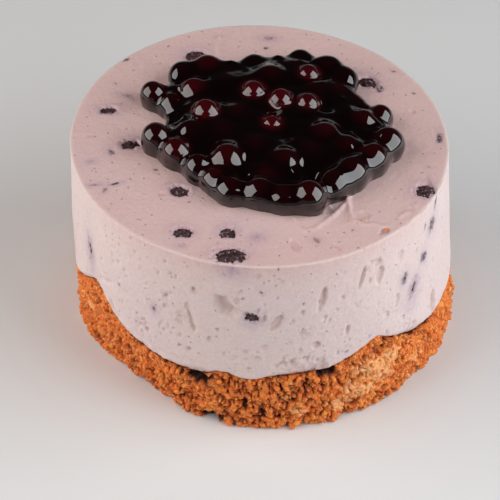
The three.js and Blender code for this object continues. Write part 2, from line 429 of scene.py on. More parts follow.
CREAM = cream_material()
SET_BERRY = set_berry_material()
CRUMB = crumb_material("biscuit_crumb")
JELLY = glaze_material("berry_jelly", (0.0022, 0.0001, 0.0002), (0.050, 0.0014, 0.0030))
BERRY = glaze_material("glazed_berry", (0.004, 0.0002, 0.0004), (0.052, 0.0015, 0.0030))

# ------------------------------------------------------------------- seam
# Lower edge of the filling: [angle, height], as seen from the front, and the
# bumps that carry it on round the back.
SEAM_FRONT = leant([
    (-84, 31.0), (-75, 32.4), (-68.5, 33.8), (-62.5, 37.4), (-58.0, 42.0), (-56, 43.6),
    (-52, 41.6), (-48.8, 38.6), (-45.9, 33.6), (-42, 30.9), (-39.3, 29.7), (-33.9, 28.0),
    (-26.3, 25.9), (-18.7, 25.7), (-13.5, 26.0), (-10.6, 28.4), (-6.9, 28.7), (-3.3, 26.5),
    (-0.4, 25.9),
]) + [
    (1.3, 26.9), (6.6, 27.8), (12.6, 28.3), (18.7, 28.2), (20.8, 28.2), (22.4, 29.8), (24.1, 30.2), (26.7, 31.2), (30, 32.2),
    (33.5, 34.3), (36, 35.8), (38.3, 36.4), (41, 34.6), (44.2, 32.3), (47, 30.6), (50.4, 29.2), (54.3, 27.3), (59.5, 25.8),
    (65.6, 24.4), (73.7, 24.4), (84, 24.0),
]
SEAM_BUMPS = [
    (-69, 20, 9.5), (-57.4, 8, 10.5), (-24.2, 10, -1), (-10.5, 4.5, 2.6), (38.7, 8, 6.5),
    (67, 18, -6.5), (120, 22, 4), (165, 18, -3), (-160, 14, 5), (-118, 20, -4),
]


def seam(angle):
    a = turn(np.asarray(angle, float), 0)
    xs, zs = zip(*SEAM_FRONT)
    front = np.interp(a, xs, zs)
    back = 26.5 + bumps(SEAM_BUMPS, a)
    w = smooth(np.abs(a), 84, 76)
    ring = on_side(a, R, 0)
    small = 0.45 * noise(ring / 7.0, 3) + 0.3 * noise(ring / 2.6, 4)
    return w * front + (1 - w) * back + small


def lip_round(angle):
    """How far the filling's lower edge is rounded."""
    a = turn(np.asarray(angle, float), 0)
    right = smooth(a, 35, 54) * smooth(a, 120, 95)
    left = smooth(a, -53, -65) * smooth(a, -130, -100)
    return 2.6 + 3.4 * right + 2.4 * left


def foot_of_filling(angle):
    """Height of the filling's underside at the side."""
    return seam(angle) - 0.55 * lip_round(angle)


# ---------------------------------------------------------------- features
# Dents of the side: angle, height, width, height, lean, depth, raggedness.
SIDE_DENTS = leant([
    (-17.8, 67.3, 4.6, 2.3, 62, 1.1, 0.2), (-4.9, 65.8, 4.6, 2.4, 80, 0.5, 0.3),
    (-18.3, 51.6, 1.9, 13.5, -12, 0.9, 0.25), (-19.9, 58.4, 1.9, 4.6, 2, 0.7, 0.2),
    (20.4, 64.9, 3.6, 12.4, 16, 1.5, 0.1), (33.2, 69.7, 2.3, 11.0, 20, 1.5, 0.1),
    (40.0, 67.5, 4.4, 9.4, 18, 1.3, 0.3), (39.1, 73.6, 3.2, 4.2, 30, 0.9, 0.3),
    (69.5, 31.4, 4.8, 13.8, 4, 2.3, 0.15), (6.7, 55.5, 4.4, 8.6, 38, 0.95, 0.3),
    (18.9, 42.2, 3.6, 3.8, 0, 1.4, 0.1), (48.2, 70.4, 5.4, 5.0, 0, 0.55, 0.3),
    (9.4, 34.6, 4.6, 3.2, 0, 0.8, 0.6), (12.0, 33.9, 3.4, 3.6, 0, 0.8, 0.6), (7.2, 33.6, 2.4, 2.0, 0, 0.5, 0.6),
    (47.6, 49.4, 1.9, 7.6, 4, 0.6, 0.2), (-25.2, 72.2, 2.3, 1.6, 60, 0.6, 0.3),
    (-23.6, 71.6, 1.8, 2.2, 20, 0.5, 0.3), (-21.9, 37.1, 2.4, 1.7, 60, 1.0, 0.3),
    (-26.6, 60.2, 4.0, 4.4, 0, 0.35, 0.5), (-26.9, 54.9, 2.1, 3.0, 10, 0.65, 0.3),
    (-35.6, 38.8, 2.4, 2.6, 0, 0.6, 0.5), (-32.8, 37.9, 2.8, 3.2, -20, 0.6, 0.5), (-34.0, 41.2, 1.8, 2.0, 0, 0.5, 0.5),
    (-21.6, 51.1, 4.2, 5.4, 20, 0.4, 0.8), (-12.7, 44.5, 1.5, 3.4, 0, 0.7, 0.2),
    (-10.4, 50.2, 1.9, 1.7, 40, 0.6, 0.2), (-33.0, 54.3, 1.4, 1.8, 0, 0.6, 0.2),
    (-1.8, 40.8, 3.0, 2.4, 0, 0.45, 0.3), (1.7, 37.4, 2.8, 2.8, 0, 0.5, 0.3),
    (6.9, 67.8, 1.6, 1.1, 70, 0.7, 0.2), (14.4, 60.0, 1.9, 2.8, 25, 0.7, 0.2),
    (29.1, 45.6, 1.6, 5.0, 2, 1.0, 0.15), (3.2, 57.4, 1.6, 4.0, 12, 0.8, 0.2),
    (3.8, 42.6, 3.6, 3.2, 0, 0.5, 0.3), (16.0, 35.6, 3.4, 2.4, 60, 0.8, 0.3),
    (15.0, 49.5, 3.2, 3.2, 0, 0.35, 0.8), (36.1, 66.3, 1.6, 3.2, 20, 0.6, 0.3),
    (55.1, 29.8, 8.0, 6.6, 30, 0.7, 0.2), (43.4, 44.7, 2.6, 6.4, 10, 0.25, 0.6),
    (-41.0, 60.0, 1.5, 1.4, 0, 0.5, 0.3), (-47.5, 66.0, 1.4, 1.9, 0, 0.5, 0.3), (27.0, 75.5, 1.3, 1.2, 0, 0.5, 0.2),
    (-30.5, 64.5, 1.6, 1.3, 30, 0.5, 0.3), (25.0, 58.0, 1.4, 1.6, 0, 0.5, 0.2), (56.5, 66.5, 1.8, 2.6, 20, 0.6, 0.3),
    (112, 66, 3.0, 7.5, 14, 1.1, 0.2), (126, 54, 2.2, 9.0, -14, 1.0, 0.2), (141, 70, 4.2, 4.6, 0, 0.7, 0.4),
    (150, 44, 6.0, 6.0, 20, 0.6, 0.6), (172, 63, 2.0, 8.0, 8, 1.0, 0.2), (-170, 71, 3.6, 3.2, 40, 0.8, 0.3),
    (-158, 62, 5.0, 8.0, -24, 0.9, 0.4), (-143, 47, 2.0, 10.0, 12, 0.9, 0.2), (-131, 69, 3.2, 3.0, 0, 0.9, 0.3),
    (-118, 55, 3.0, 6.0, 18, 0.8, 0.3), (-96, 46, 3.4, 3.6, 0, 1.0, 0.2), (97, 41, 3.6, 6.4, -10, 1.0, 0.3),
])
# A knocked corner with flat faces: outline from its middle, in millimetres.
SIDE_KNOCKS = leant([
    (-8.5, 62.4, 2.8, [(-4.3, 5.8), (1.0, 5.0), (3.4, 1.2), (7.4, -2.0), (5.2, -4.2), (1.8, -6.4), (-2.6, -4.6), (-5.2, 0.2)]),
    (134.0, 61.0, 2.4, [(-4.0, 4.2), (2.2, 5.2), (5.4, -0.6), (1.0, -5.4), (-3.6, -3.2)]),
])
# Smears of berry at the side: angle, height, width, height, lean, darkness, halo.
SIDE_SMEARS = leant([
    (-30.6, 51.2, 1.7, 3.0, -14, 0.95, 1.0), (14.6, 64.5, 1.7, 1.0, 70, 0.9, 0.2), (2.0, 71.0, 2.0, 1.0, 80, 0.9, 0.3),
    (60.5, 60.2, 4.0, 5.0, 15, 0.8, 0.8), (50.7, 58.0, 3.4, 6.0, 18, 0.72, 0.8), (65.5, 71.7, 5.2, 7.0, 20, 0.72, 0.8),
    (61.0, 74.6, 1.3, 4.4, 18, 0.6, 0.2),
    (67.6, 79.6, 1.6, 6.0, 16, 0.9, 0.3), (29.3, 35.0, 1.2, 1.3, 0, 0.9, 0.2), (37.4, 38.5, 1.1, 1.2, 0, 0.6, 0.3),
    (-19.0, 37.1, 1.3, 1.0, 40, 1.0, 0.1), (-44.1, 52.8, 1.2, 1.8, -10, 1.0, 0.1), (6.3, 74.0, 1.6, 0.9, 80, 0.5, 0.0),
    (6.7, 82.6, 1.9, 0.9, 85, 0.9, 0.1), (-39.9, 81.0, 1.2, 0.9, 80, 0.7, 0.0), (-36.6, 51.0, 1.0, 1.0, 0, 0.5, 0.0),
    (104, 70, 5.0, 7.0, 10, 0.5, 0.8), (140, 52, 3.2, 4.4, 0, 0.8, 0.8), (176, 47, 3.0, 3.0, 0, 0.8, 0.6),
    (-166, 57, 2.2, 3.6, 20, 0.9, 0.8), (-138, 73, 5.2, 4.0, 40, 0.5, 0.8), (-122, 44, 2.2, 2.2, 0, 0.9, 0.5), (-88, 70, 3.0, 5.0, 10, 0.5, 0.7),
])
# Dents of the top: x, y, width, length, turn, depth, raggedness.
TOP_DENTS = [
    (14.8, -60.7, 4.2, 7.6, 24, 0.6, 0.2), (-36.7, -33.5, 2.9, 2.8, 0, 0.4, 0.1), (30.3, -60.4, 5.4, 1.3, -32, 0.4, 0.2),
    (49.0, -50.6, 5.4, 3.0, 45, 1.4, 0.4), (27.6, -40.0, 5.0, 4.0, 30, 0.7, 0.3), (58.9, -37.6, 3.6, 2.4, 50, 0.5, 0.6),
    (40.6, -42.0, 6.0, 5.0, 10, 0.35, 0.3), (-41.0, 47.0, 2.2, 2.0, 0, 0.3, 0.2), (20.0, 66.5, 3.0, 2.0, 0, 0.3, 0.3),
    (60.0, 22.0, 2.4, 2.8, 0, 0.35, 0.3), (-66.0, 0.0, 2.0, 2.4, 0, 0.3, 0.3), (52.0, -31.0, 2.2, 1.8, 0, 0.3, 0.5),
]
# Ridges of lifted cream on the top: height, width, and the points they run along.
TOP_RIDGES = [
    (1.5, 0.75, [(-17.6, 64.6), (-18.1, 60.0), (-17.7, 54.0)]),
    (1.3, 0.85, [(35.5, -29.5), (34.6, -34.0), (32.4, -38.6), (29.6, -42.6), (26.2, -46.6), (22.4, -50.6), (18.0, -52.2)]),
    (1.0, 0.8, [(35.0, -34.5), (35.4, -40.0), (36.8, -45.4), (40.6, -47.6), (45.0, -47.2), (48.6, -48.6)]),
    (0.5, 0.8, [(14.4, -45.0), (15.4, -49.2), (18.4, -52.4), (23.0, -53.4)]),
    (0.9, 0.7, [(25.6, -34.6), (27.4, -37.2), (30.2, -41.0)]),
    (0.55, 0.9, [(55.0, -41.5), (58.4, -38.6), (61.6, -34.0)]),
]
# Spots and smears of berry on the top: x, y, width, length, turn, darkness, halo.
TOP_SMEARS = [
    (2.4, 65.5, 4.6, 2.6, 0, 0.35, 0.9), (1.3, 59.0, 2.2, 1.7, 20, 0.85, 0.3), (-52.8, 25.5, 5.4, 2.2, -14, 0.4, 0.9),
    (-57.4, -9.6, 2.6, 3.6, 20, 0.6, 0.6), (-55.0, -28.6, 4.4, 1.4, 24, 0.95, 0.9), (-58.6, -32.2, 1.4, 3.2, -20, 0.9, 0.7),
    (-63.0, -29.6, 4.0, 1.6, 20, 0.3, 0.8), (47.0, 35.1, 3.4, 5.4, -24, 0.85, 0.4), (70.4, 6.1, 2.8, 8.0, 0, 0.9, 0.4),
    (0.2, -57.2, 5.6, 4.0, 20, 0.12, 0.8), (-54.5, 48.2, 2.8, 1.8, 30, 0.9, 0.2), (27.2, -35.9, 2.8, 2.2, 30, 0.9, 0.5),
    (-57.8, 33.1, 1.8, 1.0, 0, 0.6, 0.2), (-55.1, 20.7, 1.0, 1.0, 0, 0.8, 0.2), (-48.1, 14.2, 1.0, 0.9, 0, 0.6, 0.0),
    (-39.6, -19.6, 2.2, 1.4, -20, 0.75, 0.2), (-26.1, -37.9, 1.8, 0.9, 30, 1.0, 0.0), (36.7, -50.8, 1.2, 1.3, 0, 1.0, 0.1),
    (-28.6, -63.0, 2.2, 1.4, 0, 0.15, 0.8), (23.0, -57.4, 2.4, 3.4, 30, 0.45, 0.6), (38.7, -61.1, 0.9, 0.9, 0, 0.8, 0.0),
    (-64.9, -16.0, 3.0, 2.0, 30, 0.12, 0.7), (52.6, 47.0, 2.2, 1.6, 0, 0.7, 0.4), (60.6, 33.4, 1.2, 1.0, 0, 0.8, 0.2),
    (66.0, -12.0, 1.6, 1.2, 0, 0.4, 0.4), (9.0, -66.8, 1.4, 0.9, 0, 0.8, 0.0), (-38.0, 58.0, 1.4, 1.0, 0, 0.8, 0.1), (66.4, -22.0, 2.6, 6.0, 10, 0.3, 0.7),
]
# The berries set in the filling: as they stand in the solids, with how open the
# cream is over them.
TOP_INSETS = [
    (-27.0, 53.0, 4.6, 3.8, 10, 0.95), (-50.4, -4.4, 4.4, 3.3, 20, 0.8), (-30.1, -31.3, 4.0, 3.6, -15, 0.95),
    (42.2, 39.7, 4.6, 3.8, -30, 0.75), (64.3, -25.9, 4.4, 4.2, 35, 0.9), (-28.0, -55.3, 4.0, 3.3, 0, 1.0),
    (-10.9, -54.6, 3.6, 3.5, 0, 0.8), (-9.5, -67.2, 6.3, 4.2, 4, 1.3), (-60.0, 16.0, 4.4, 2.8, 5, 0.45),
]
SIDE_INSETS = [
    (-1.3, 58.0, 3.6, 2.6, 8, 0.6), (53.3, 50.0, 3.2, 6.0, 22, 0.4), (-60.8, 57.3, 2.8, 6.4, -12, 0.4),
    (112.0, 46.0, 4.0, 3.2, 15, 0.8), (158.0, 62.0, 3.4, 5.0, -20, 0.8), (-152.0, 50.0, 4.2, 3.4, 30, 0.8), (-104.0, 64.0, 3.2, 4.6, 10, 0.7),
]


# Width of the slanting break along the filling's lower edge: angle, millimetres.
BEVEL = [
    (-180, 0), (-54, 0), (-48, 3.4), (-36, 4.4), (-24, 4.2), (-17, 3.8), (-14, 0), (-1, 0), (5, 2.6), (13, 5.4), (20.0, 8.0), (21.6, 0), (180, 0),
]


def oval(u, v, w, h, lean):
    """Distance from an oval's middle, 1 at its edge. lean turns its top to +u."""
    c, s = math.cos(lean * DEG), math.sin(lean * DEG)
    return np.hypot((c * u - s * v) / (w / 2), (s * u + c * v) / (h / 2))


def side_relief(angle, z):
    """Radial height, stain, darkness and painted dent shade of the side at angle and z."""
    p = on_side(angle, R, z)
    d = 0.30 * fbm(p, 30, 2, 11) + 0.10 * fbm(p, 9, 2, 12) + 0.04 * fbm(p, 2.6, 2, 13)
    d += 0.18 * np.exp(-np.maximum(H - z, 0) / 3.5)
    stain, dark, dent_shade = (np.zeros_like(d) for _ in range(3))
    rag = fbm(p, 2.4, 2, 21)
    fine = fbm(p, 1.3, 2, 22)
    for at, zc, w, h, lean, depth, ragged in SIDE_DENTS:
        u, v = turn(angle, at) * TURN, z - zc
        q = oval(u + 0.22 * rag, v, w * (0.84 if w > 2.2 else 1.0), h, lean) + (ragged + 0.1) * rag * 0.8
        m = smooth(q, 1.04, 0.74)
        # the floor of a dent rises to its lower end
        d -= (1.15 if depth < 1.1 else 0.95) * depth * m * np.clip(0.8 + 0.75 * v / h + 0.2 * u / w, 0.3, 1.25)
        # painted shade inside the dent, stronger in deeper dents
        dent_shade = np.maximum(dent_shade, m * min(1.0, 0.45 + 0.45 * depth))
        d += 0.10 * min(1, depth) * np.exp(-(((q - 1.2) / 0.16) ** 2))
    for at, zc, depth, corners in SIDE_KNOCKS:
        u, v = turn(angle, at) * TURN + 0.4 * rag, z - zc + 0.4 * fine
        inside = -outline(corners, u, v)
        k = np.clip(inside / 2.6, 0, 1)
        d -= depth * k
        # painted shade inside the knocked corner
        dent_shade = np.maximum(dent_shade, smooth(inside, -0.1, 0.9) * 0.5)
    for at, zc, w, h, lean, much, halo in SIDE_SMEARS:
        u, v = turn(angle, at) * TURN, z - zc
        q = oval(u, v, w, h, lean)
        dark = np.maximum(dark, much * smooth(q + 0.45 * fine, 1.15, 0.55))
        reach = 1 + 2.2 / max(w, h)
        stain = np.maximum(stain, halo * np.exp(-((q / (1.3 * reach)) ** 2)) * (0.8 + 0.4 * rag))
        d -= 0.12 * much * smooth(q + 0.3 * fine, 1.1, 0.6)
    for at, zc, a, c, lean, open_ in SIDE_INSETS:
        u, v = turn(angle, at) * TURN, z - zc
        q = oval(u, v, 2 * a, 2 * c, lean)
        slit = q if open_ > 0.45 else oval(u + 0.5 * rag, v, 0.5 * a, 1.5 * c, lean)
        hole = smooth(slit + 0.42 * fine + 0.25 * rag, 0.55 + 0.55 * open_, 0.30 + 0.42 * open_)
        d -= 1.5 * hole
        stain = np.maximum(stain, np.exp(-((q / 1.2) ** 2)) * (0.95 + 0.4 * rag))
        stain = np.maximum(stain, 0.7 * np.exp(-((oval(u, v + 0.9 * c, 2.4 * a, 2.2 * c, lean) / 1.2) ** 2)) * (0.8 + 0.5 * rag))
        dark = np.maximum(dark, (0.55 if open_ > 0.45 else 0.3) * smooth(q + 0.5 * fine, 0.9, 0.35) * (1 - hole))
    # juice of the berry at the front rim
    stain = np.maximum(stain, 0.95 * np.exp(-((turn(angle, -7.0) * TURN / 6.0) ** 2 + ((z - 81.5) / 4.5) ** 2)) * (0.9 + 0.4 * rag))
    # lower edge: a soft lip on the left, a fold beside the hanging lobe
    up = z - seam(angle)
    left = smooth(turn(angle, 0), -57, -49) * smooth(turn(angle, 0), -16, -26)
    d += left * (0.75 * np.exp(-(((up - 1.2) / 2.0) ** 2)) - 0.45 * np.exp(-(((up - 4.3) / 0.7) ** 2)))
    lobe = np.exp(-(((turn(angle, -70.0) * TURN) / 8.5) ** 2)) * np.exp(-(((up - 3.0) / 6.5) ** 2))
    d += 1.1 * lobe
    for path, depth, width in (
        (leant([(-59.6, 58.0), (-59.0, 50.0), (-57.2, 46.6)]), 1.1, 0.75),
        (leant([(-57.0, 50.4), (-52.6, 47.6), (-50.0, 48.2), (-47.8, 51.0)]), 0.7, 0.8),
    ):
        for (a0, z0), (a1, z1) in zip(path, path[1:]):
            u, v = turn(angle, a0) * TURN, z - z0
            du, dv = (a1 - a0) * TURN, z1 - z0
            t = np.clip((u * du + v * dv) / (du * du + dv * dv), 0, 1)
            d = np.minimum(d, d - depth * np.exp(-((np.hypot(u - t * du, v - t * dv) / width) ** 2)) * 0.8)
    # where the lower edge is broken off slanting
    at, wide = zip(*BEVEL)
    d -= np.minimum(0.34 * np.maximum(np.interp(turn(angle, 0), at, wide) * (1 + 0.25 * rag) - up, 0), 2.6)
    right = smooth(turn(angle, 0), 35, 49) * smooth(turn(angle, 0), 110, 88)
    d += right * 0.5 * np.exp(-(((up - 4.5) / 4.5) ** 2))
    return d, np.clip(stain, 0, 1), np.clip(dark, 0, 1), np.clip(dent_shade, 0, 1)


def bubbles(count, seed, low, high):
    """Random small bubbles: angle, height, width, height, depth."""
    rng = np.random.default_rng(seed)
    a = rng.uniform(-180, 180, count)
    z = low + (high - low) * rng.random(count) ** 1.25
    w = 0.9 + 1.3 * rng.random(count) ** 2.4
    h = w * rng.uniform(0.8, 1.7, count)
    return np.stack([a, z, w, h, rng.uniform(0.25, 0.75, count) * np.minimum(1, w)], 1)


# Patches of small broken bubbles on the side: angle, height, half width, count.
CLUSTERS = leant([
    (-21.6, 52.0, 3.2, 16), (-35.0, 40.0, 3.4, 14), (-26.6, 60.2, 2.6, 10), (-33.5, 36.0, 2.6, 9), (15.0, 49.5, 2.2, 10),
    (10.6, 34.4, 4.4, 18), (16.4, 35.6, 2.0, 7), (-28.0, 44.0, 3.6, 10), (36.5, 74.0, 2.6, 9), (43.5, 45.0, 2.4, 8),
    (-45.0, 68.0, 4.0, 9), (28.0, 38.0, 3.6, 8), (52.0, 36.0, 3.2, 8), (-6.0, 38.0, 4.0, 8), (104, 55, 4, 14), (132, 40, 4, 14),
    (160, 50, 4, 12), (-172, 38, 4, 14), (-140, 60, 4, 12), (-116, 38, 4, 12), (-92, 58, 4, 10),
])


def clusters():
    rng = np.random.default_rng(8)
    rows = []
    for at, z, half, count in CLUSTERS:
        for _ in range(count):
            w = rng.uniform(0.8, 1.5)
            rows.append((at + rng.normal() * 0.55 * half / TURN, z + rng.normal() * 0.6 * half, w, w * rng.uniform(0.7, 1.5), rng.uniform(0.35, 0.75)))
    return np.array(rows)


def top_relief(x, y):
    """Height, stain, darkness and painted dent shade of the top at x, y."""
    p = np.stack([x, y, np.full_like(x, H)], -1)
    d = 0.16 * fbm(p, 26, 2, 31) + 0.05 * fbm(p, 7, 2, 32) + 0.03 * fbm(p, 2.2, 2, 33)
    stain, dark, dent_shade = (np.zeros_like(d) for _ in range(3))
    rag = fbm(p, 2.4, 2, 41)
    fine = fbm(p, 1.3, 2, 42)
    for xc, yc, w, h, spin, depth, ragged in TOP_DENTS:
        q = oval(x - xc, y - yc, w, h, -spin) + ragged * rag * 0.8
        m = smooth(q, 1.15, 0.6)
        d -= depth * m
        # painted shade inside the dent
        dent_shade = np.maximum(dent_shade, m * min(1.0, 0.3 + 0.6 * depth))
        d += 0.10 * np.exp(-(((q - 1.22) / 0.16) ** 2))
    for height, width, path in TOP_RIDGES:
        best = np.zeros_like(d)
        for k, ((x0, y0), (x1, y1)) in enumerate(zip(path, path[1:])):
            dx, dy = x1 - x0, y1 - y0
            t = np.clip(((x - x0) * dx + (y - y0) * dy) / (dx * dx + dy * dy), 0, 1)
            far = np.hypot(x - x0 - t * dx, y - y0 - t * dy)
            fade = 1 - 0.65 * (k + t) / (len(path) - 1)
            best = np.maximum(best, fade * np.exp(-((far / (width * (1 + 0.25 * rag))) ** 2)))
        d += height * best * (1 + 0.4 * fine)
    for xc, yc, w, h, spin, much, halo in TOP_SMEARS:
        q = oval(x - xc, y - yc, w, h, -spin)
        dark = np.maximum(dark, much * smooth(q + 0.45 * fine, 1.15, 0.5))
        reach = 1 + 2.4 / max(w, h)
        stain = np.maximum(stain, halo * np.exp(-((q / (1.3 * reach)) ** 2)) * (0.8 + 0.4 * rag))
        d -= 0.15 * much * smooth(q + 0.3 * fine, 1.1, 0.6)
    for xc, yc, a, b, spin, open_ in TOP_INSETS:
        q = oval(x - xc, y - yc, 2 * a, 2 * b, -spin)
        hole = smooth(q + 0.30 * fine + 0.22 * rag, 0.60 + 0.50 * open_, 0.34 + 0.42 * open_)
        d -= 1.5 * hole
        d += 0.16 * np.exp(-(((q - 1.25) / 0.22) ** 2))
        stain = np.maximum(stain, 0.9 * np.exp(-((q / 1.45) ** 2)) * (0.85 + 0.4 * rag))
        dark = np.maximum(dark, 0.5 * smooth(q + 0.5 * fine, 0.95, 0.4) * (1 - hole))
    return d, np.clip(stain, 0, 1), np.clip(dark, 0, 1), np.clip(dent_shade, 0, 1)


# ----------------------------------------------------------------- filling
def fill_side(angle, z, bub):
    d, stain, dark, dent_shade = side_relief(angle, z)
    for at, zc, w, h, depth in bub:
        near = np.abs(turn(angle[0], at)) * TURN < w
        if not near.any():
            continue
        cols = np.nonzero(near)[0]
        u = turn(angle[:, cols], at) * TURN
        q = np.hypot(u / (w / 2), (z[:, cols] - zc) / (h / 2))
        m = smooth(q, 1.2, 0.3)
        d[:, cols] -= depth * m
        # painted shade inside the bubble
        dent_shade[:, cols] = np.maximum(dent_shade[:, cols], 0.6 * m)
    return d, stain, dark, dent_shade


def make_filling():
    cols = np.concatenate(
        [np.linspace(-95, 95, 420, endpoint=False), np.linspace(95, 265, 200, endpoint=False)]
    )
    zb, rho = foot_of_filling(cols), lip_round(cols)
    # of these, the top list carries painted shade on the top and under the front rim, the rim list a painted highlight
    # along the rim line, and the dent list painted shade in the dents
    rings, stain, dark, dent_shade, rim, top = [], [], [], [], [], []

    def ring(points, s=None, k=None, t=None, m=None, o=None):
        n = len(points)
        rings.append(points)
        for store, v in ((stain, s), (dark, k), (dent_shade, t), (rim, m), (top, o)):
            store.append(np.zeros(n) if v is None else np.broadcast_to(v, (n,)))

    ring(np.array([[0, 0, 26.65]]))
    for r in (0.45 * R, 0.72 * R, 0.9 * R):
        w = smooth(r, 0.6 * R, 0.94 * R)
        ring(on_side(cols, r, 26.65 + w * (zb - 26.65)))
    psi = np.linspace(0, 90, 8)[:-1] * DEG
    wide = R + swell(zb)
    rows_r = [wide - rho + rho * math.sin(a) for a in psi]
    rows_z = [zb + rho * (1 - math.cos(a)) for a in psi]
    weight = [math.sin(a) for a in psi]
    rows = 84
    for j in range(rows + 1):
        rows_z.append(zb + rho + (H - RIM - zb - rho) * j / rows)
        rows_r.append(R + swell(rows_z[-1]))
        weight.append(1.0)
    Z = np.array(rows_z)
    A = np.broadcast_to(cols, Z.shape)
    bub = np.concatenate([bubbles(430, 5, 26, 82), clusters()])
    d, s, k, t = fill_side(A, Z, bub)
    w = np.array(weight)[:, None]
    rr = np.array(rows_r) + d * w
    # nothing of the side stands over the rim
    # painted highlight: edge fades in the rim line's lighter tint over the side's top 1.3 mm
    edge = smooth(Z, H - 1.3, H - RIM)
    # painted shade: a darker, pinker band on the side just under the rim, at the front only
    front_rim_shade = 0.8 * np.exp(-(H - Z) / 8.0) * smooth(np.cos(A * DEG), 0.2, 0.95)
    for j in range(len(Z)):
        ring(on_side(cols, rr[j], Z[j]), s[j] * w[j], k[j] * w[j], t[j] * w[j], 0.85 * edge[j] ** 2, front_rim_shade[j])
    chipped = 0.30 * fbm(on_side(cols, R, H), 4.0, 3, 51) * (0.35 + bumps([(55, 16, 1.0), (-30, 10, 0.3)], cols))
    last_d = d[-1]
    for a in (25, 50, 75):
        r = R - RIM + RIM * math.cos(a * DEG) + last_d * math.cos(a * DEG)
        z = H - RIM + RIM * math.sin(a * DEG)
        p = on_side(cols, r, z)
        td, ts, tk, tt = top_relief(p[:, 0], p[:, 1])
        q = math.sin(a * DEG)
        p[:, 2] += (td + chipped) * q
        ring(p, np.maximum(s[-1] * (1 - q), ts * q), np.maximum(k[-1] * (1 - q), tk), tt, 1.0, 0.3 * q)
    for j in range(54):
        r = R - RIM - 36.5 * j / 54
        p = on_side(cols, r, H)
        td, ts, tk, tt = top_relief(p[:, 0], p[:, 1])
        p[:, 2] += td + chipped * math.exp(-j * 0.45) + 0.05 * math.exp(-((j * 0.68 / 1.6) ** 2))
        ring(p, ts, tk, tt, math.exp(-((j * 0.68 / 0.6) ** 2)), smooth(j, -1.0, 1.6))
    for r in (36.0, 33.0, 29.0, 25.0):
        c = cols[::2]
        p = on_side(c, r, H)
        td, ts, tk, tt = top_relief(p[:, 0], p[:, 1])
        p[:, 2] += td * smooth(r, 22, 36)
        ring(p, ts, tk, tt, None, 1.0)
    for r in (20.0, 10.0):
        ring(on_side(cols[::4], r, H))
    ring(np.array([[0, 0, H]]))
    verts, faces = skin(rings)
    attrs = {
        "stain": np.concatenate(stain), "dark": np.concatenate(dark),
        "dent_shade": np.concatenate(dent_shade), "rim": np.concatenate(rim), "top": np.concatenate(top),
    }
    return piece("cream_filling", verts, faces, CREAM, ["filling"], attrs)


def make_set_berries():
    unit, tris = ball(4)
    all_v, all_f, nodes, at = [], [], [], 0

    def shaped(half, seed):
        """A wrinkled berry with a flattened face along +Z of its own."""
        a, b, c = half
        p = unit.copy()
        p[:, 2] = np.sign(p[:, 2]) * np.abs(p[:, 2]) ** 0.55
        p = p * (a, b, c)
        n = unit / (a, b, c)
        n /= np.linalg.norm(n, axis=1)[:, None]
        rough = 0.42 * fbm(p, 1.5, 3, seed) - 0.35 * np.abs(noise(p / 1.9, seed + 5)) + 0.1
        return p + n * rough[:, None]

    for i, (x, y, a, b, spin, _) in enumerate(TOP_INSETS):
        p = shaped((a * 1.04, b * 1.04, 2.4), 100 + i)
        c, s = math.cos(spin * DEG), math.sin(spin * DEG)
        q = np.stack([c * p[:, 0] - s * p[:, 1] + x, s * p[:, 0] + c * p[:, 1] + y, p[:, 2] + H - 2.4 - 0.25], 1)
        # a berry at the rim is cut by the side as the cream is
        far = np.hypot(q[:, 0], q[:, 1])
        over = np.maximum(far, R - 0.7) / (R - 0.7)
        q[:, :2] /= over[:, None]
        all_v.append(q)
        all_f.append(tris + at)
        at += len(q)
        nodes.append(f"set_berry_top_{i + 1:02d}")
    for i, (angle, z, a, c_, lean, _) in enumerate(SIDE_INSETS):
        p = shaped((a * 1.04, c_ * 1.04, 2.2), 140 + i)
        c, s = math.cos(lean * DEG), math.sin(lean * DEG)
        u = c * p[:, 0] + s * p[:, 1]
        v = -s * p[:, 0] + c * p[:, 1]
        q = on_side(angle + u / TURN, R + swell(z + v) - 2.2 - 0.45 + p[:, 2], z + v)
        all_v.append(q)
        all_f.append(tris + at)
        at += len(q)
        nodes.append(f"set_berry_side_{i + 1:02d}")
    return piece("set_berries", np.concatenate(all_v), np.concatenate(all_f).tolist(), SET_BERRY, nodes)


# ------------------------------------------------------------- crumb base
FOOT_WORN = [(-44, 22, 6.5), (128, 16, 4.0)]
SIDE_BULGES = [(88, 13, 1.9), (20, 14, 0.5), (-150, 16, 1.0), (-80, 26, -0.9)]
# Holes in the base: angle, height, width, height, depth.
BASE_HOLES = leant([
    (-11.8, 2.4, 10.0, 6.0, 7.0), (-16.2, 22.6, 10.5, 6.0, 5.0), (-14.0, 20.6, 4.0, 3.4, 2.6), (23.4, 25.8, 10.0, 5.6, 5.5),
    (21.5, 23.4, 4.0, 3.0, 2.6), (-47.0, 14.0, 6.0, 3.4, 3.0), (-33.0, 21.0, 5.0, 2.2, 2.0), (4.0, 8.0, 3.0, 3.6, 2.2),
    (-4.0, 13.0, 4.6, 2.6, 2.2), (13.0, 14.0, 3.6, 2.4, 2.0), (33.0, 4.5, 6.0, 2.6, 2.4), (45.0, 12.0, 3.0, 2.0, 1.6), (3.0, 5.4, 17.0, 1.5, 2.2), (-2.0, 12.0, 2.4, 6.0, 2.2),
    (-22.0, 8.0, 3.0, 5.0, 2.4), (100, 8, 6, 4, 3.0), (126, 18, 5, 3, 2.2), (150, 6, 7, 4, 3.0), (178, 16, 5, 4, 2.6), (-155, 8, 6, 4, 3), (-128, 15, 4, 4, 2.4), (-100, 6, 7, 4, 3.0),
])
